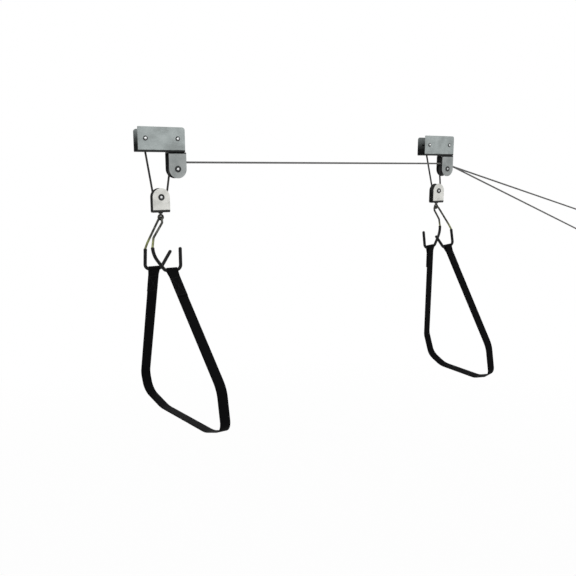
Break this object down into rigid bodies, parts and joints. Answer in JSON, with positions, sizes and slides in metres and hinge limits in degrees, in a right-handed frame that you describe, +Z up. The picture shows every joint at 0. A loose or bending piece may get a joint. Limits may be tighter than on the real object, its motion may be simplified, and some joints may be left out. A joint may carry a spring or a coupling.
{
  "type": "kayak hoist",
  "caption": "Ceiling hoist for a kayak: joist brackets with rope pulleys, lower blocks, coated double hooks, webbing slings and hauling lines to wall cleats.",
  "frame": {"origin": "midway between the two brackets, on the middle plane of the joist, level with the underside of the brackets' webs", "axes": "+X along the hoist, from the bracket where the span rope starts to the bracket where the hauling lines leave; +Y away from the side that the picture shows; +Z up"},
  "size_m": [2.259, 0.5141, 0.999],
  "materials": {
    "bracket_steel": "zinc plated sheet, grey-green, satin",
    "housing_steel": "zinc plated plate, satin",
    "block_steel": "zinc plated plate, lighter and warmer, satin",
    "rivet_steel": "bright zinc",
    "axle_steel": "turned steel, bright zinc",
    "sheave_nylon": "black nylon, satin",
    "rope_dark": "dark braided rope",
    "rope_light": "grey braided rope",
    "hook_zinc": "zinc plated wire with a yellow tinge",
    "hook_vinyl": "black dipped vinyl, satin",
    "webbing": "black woven webbing, matte",
    "cleat_nylon": "black nylon, satin"
  },
  "bodies": {
    "ceiling_parts": {"left_bracket": "bracket_steel", "left_clevis": "housing_steel", "left_clevis_rivets": "rivet_steel", "left_top_axle": "axle_steel", "left_rope_knot": "rope_dark", "left_anchor_fall": "rope_dark", "left_haul_fall": "rope_dark", "right_bracket": "bracket_steel", "right_clevis": "housing_steel", "right_clevis_rivets": "rivet_steel", "right_top_axle": "axle_steel", "right_rope_knot": "rope_dark", "right_anchor_fall": "rope_dark", "right_haul_fall": "rope_dark", "left_top_spacers": "axle_steel", "right_top_washers": "axle_steel", "span_rope": "rope_light", "right_top_rope": "rope_dark", "front_tail": "rope_light", "rear_tail": "rope_light", "front_cleat": "cleat_nylon", "rear_cleat": "cleat_nylon"},
    "left_block": {"left_yoke": "block_steel", "left_block_axle": "axle_steel", "left_block_spacers": "axle_steel", "left_block_rope": "rope_dark", "left_swivel_washers": "axle_steel"},
    "left_block_wheel": {"left_block_sheave": "sheave_nylon"},
    "left_swivel": {"left_swivel_eye": "hook_zinc"},
    "left_hook": {"left_hook_rod": "hook_zinc", "left_hook_sleeves": "hook_vinyl", "left_strap": "webbing"},
    "right_block": {"right_yoke": "block_steel", "right_block_axle": "axle_steel", "right_block_spacers": "axle_steel", "right_block_rope": "rope_dark", "right_swivel_washers": "axle_steel"},
    "right_block_wheel": {"right_block_sheave": "sheave_nylon"},
    "right_swivel": {"right_swivel_eye": "hook_zinc"},
    "right_hook": {"right_hook_rod": "hook_zinc", "right_hook_sleeves": "hook_vinyl", "right_strap": "webbing"},
    "left_top_wheel": {"left_top_sheave": "sheave_nylon"},
    "right_front_wheel": {"right_front_sheave": "sheave_nylon"},
    "right_rear_wheel": {"right_rear_sheave": "sheave_nylon"}
  },
  "joints": [
    {"name": "left_lift", "type": "slide", "parent": "ceiling_parts", "child": "left_block", "axis": [0, 0, 1], "range_m": [-2, 0.02], "deforming": ["left_anchor_fall", "left_haul_fall"]},
    {"name": "left_block_turn", "type": "hinge", "parent": "left_block", "child": "left_block_wheel", "pos_m": [-0.5795, 0, -0.139], "axis": [0, 1, 0], "continuous": true},
    {"name": "left_swivel", "type": "hinge", "parent": "left_block", "child": "left_swivel", "pos_m": [-0.5795, 0, -0.195], "axis": [0, 0, 1], "continuous": true},
    {"name": "left_hook_swing", "type": "hinge", "parent": "left_swivel", "child": "left_hook", "pos_m": [-0.5795, 0, -0.2022], "axis": [0, 1, 0], "range_deg": [-30, 30]},
    {"name": "right_lift", "type": "slide", "parent": "ceiling_parts", "child": "right_block", "axis": [0, 0, 1], "range_m": [-2, 0.02], "deforming": ["right_anchor_fall", "right_haul_fall"]},
    {"name": "right_block_turn", "type": "hinge", "parent": "right_block", "child": "right_block_wheel", "pos_m": [0.589, 0, -0.139], "axis": [0, 1, 0], "continuous": true},
    {"name": "right_swivel", "type": "hinge", "parent": "right_block", "child": "right_swivel", "pos_m": [0.589, 0, -0.195], "axis": [0, 0, 1], "continuous": true},
    {"name": "right_hook_swing", "type": "hinge", "parent": "right_swivel", "child": "right_hook", "pos_m": [0.589, 0, -0.2022], "axis": [0, 1, 0], "range_deg": [-30, 30]},
    {"name": "left_top_turn", "type": "hinge", "parent": "ceiling_parts", "child": "left_top_wheel", "pos_m": [-0.523, 0, -0.052], "axis": [0, 1, 0], "continuous": true},
    {"name": "right_front_turn", "type": "hinge", "parent": "ceiling_parts", "child": "right_front_wheel", "pos_m": [0.627, -0.0068, -0.052], "axis": [0, 1, 0], "continuous": true},
    {"name": "right_rear_turn", "type": "hinge", "parent": "ceiling_parts", "child": "right_rear_wheel", "pos_m": [0.627, 0.0068, -0.052], "axis": [0, 1, 0], "continuous": true}
  ],
  "couplings": [
    {"joint": "left_block_turn", "follows": "left_lift", "rad_per_m": -47.619},
    {"joint": "right_block_turn", "follows": "right_lift", "rad_per_m": -47.619},
    {"joint": "left_top_turn", "follows": "left_lift", "rad_per_m": 95.238},
    {"joint": "right_front_turn", "follows": "left_lift", "rad_per_m": 95.238},
    {"joint": "right_rear_turn", "follows": "right_lift", "rad_per_m": 95.238}
  ]
}
